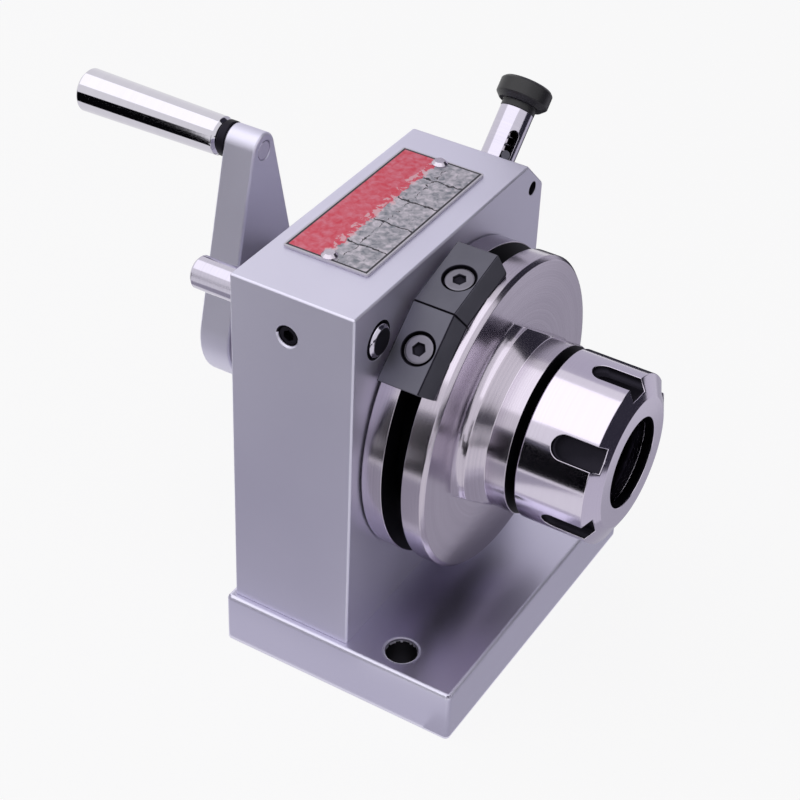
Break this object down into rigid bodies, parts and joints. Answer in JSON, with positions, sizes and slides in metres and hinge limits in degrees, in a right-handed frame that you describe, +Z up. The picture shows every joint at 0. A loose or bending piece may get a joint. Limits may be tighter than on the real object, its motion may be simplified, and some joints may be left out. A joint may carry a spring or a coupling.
{
  "type": "punch former",
  "caption": "Indexing workholding spindle: a slotted collet nut and a T-slotted drum with stop dogs turn in an upright block on a base plate, driven by a rear crank.",
  "frame": {"origin": "centre of the underside of the base plate", "axes": "+Z up; -Y along the spindle towards the collet nut; +X to the right seen from the nut's side"},
  "size_m": [0.1229, 0.1837, 0.1457],
  "materials": {
    "anodised_aluminium": "satin clear anodised, finely blasted",
    "turned_steel": "bright turned, with fine rings",
    "ground_steel": "ground and polished",
    "blackened_steel": "black oxide, satin",
    "screw_steel": "plain rolled steel, slightly dark",
    "chromed_steel": "polished chrome plate",
    "bearing_bronze": "machined bearing bronze",
    "printed_plate": "printed aluminium plate, red and silver, without lettering"
  },
  "bodies": {
    "stand": {"base_plate": "anodised_aluminium", "upright_block": "anodised_aluminium", "base_screws": "blackened_steel", "dowel_pins": "turned_steel", "nameplate": "printed_plate", "nameplate_rivets": "turned_steel", "spindle_bush": "bearing_bronze", "plunger_sleeve": "turned_steel", "sleeve_set_screw": "blackened_steel", "rod_brake_pad": "bearing_bronze", "rod_brake_screw": "blackened_steel"},
    "spindle": {"spindle": "turned_steel", "index_ring": "ground_steel", "index_ring_screws": "blackened_steel", "thrust_washer": "ground_steel", "lock_nut": "blackened_steel", "jam_nut": "blackened_steel", "arm_spacer": "turned_steel", "crank_arm": "anodised_aluminium", "arm_key": "turned_steel", "arm_set_screw": "blackened_steel", "tail_circlip": "blackened_steel", "handle_pin": "screw_steel", "handle_washer": "blackened_steel"},
    "handle": {"crank_handle": "chromed_steel"},
    "slip_ring": {"nut_slip_ring": "ground_steel"},
    "nut": {"collet_nut": "ground_steel"},
    "dog_a": {"stop_dog_a": "blackened_steel", "stop_dog_a_screw": "screw_steel", "stop_dog_a_tnut": "blackened_steel"},
    "dog_b": {"stop_dog_b": "blackened_steel", "stop_dog_b_screw": "screw_steel", "stop_dog_b_tnut": "blackened_steel"},
    "rod": {"stop_rod": "turned_steel"},
    "plunger": {"plunger_pin": "turned_steel", "plunger_cross_pin": "blackened_steel", "plunger_knob": "blackened_steel", "plunger_spring": "screw_steel"}
  },
  "joints": [
    {"name": "spindle_turn", "type": "hinge", "parent": "stand", "child": "spindle", "pos_m": [0, -0.0024, 0.076], "axis": [0, -1, 0], "continuous": true},
    {"name": "handle_spin", "type": "hinge", "parent": "spindle", "child": "handle", "pos_m": [0, 0.0976, 0.1335], "axis": [0, 1, 0], "continuous": true},
    {"name": "nut_advance", "type": "slide", "parent": "spindle", "child": "slip_ring", "axis": [0, -1, 0], "range_m": [0, 0.00301]},
    {"name": "nut_turn", "type": "hinge", "parent": "slip_ring", "child": "nut", "pos_m": [0, -0.0524, 0.076], "axis": [0, -1, 0], "range_deg": [0, 720]},
    {"name": "dog_a_shift", "type": "hinge", "parent": "spindle", "child": "dog_a", "pos_m": [0, -0.0124, 0.076], "axis": [0, -1, 0], "range_deg": [-130, 0]},
    {"name": "dog_b_shift", "type": "hinge", "parent": "spindle", "child": "dog_b", "pos_m": [0, -0.0124, 0.076], "axis": [0, -1, 0], "range_deg": [0, 135]},
    {"name": "stop_rod_push", "type": "slide", "parent": "stand", "child": "rod", "axis": [0, -1, 0], "range_m": [0, 0.014]},
    {"name": "plunger_pull", "type": "slide", "parent": "stand", "child": "plunger", "axis": [0.7071, 0, 0.7071], "range_m": [0, 0.006], "stiffness_N_per_m": 300, "springref_m": -0.01, "deforming": ["plunger_spring"]}
  ],
  "couplings": [
    {"joint": "nut_advance", "follows": "nut_turn", "m_per_rad": 0.00023873}
  ]
}
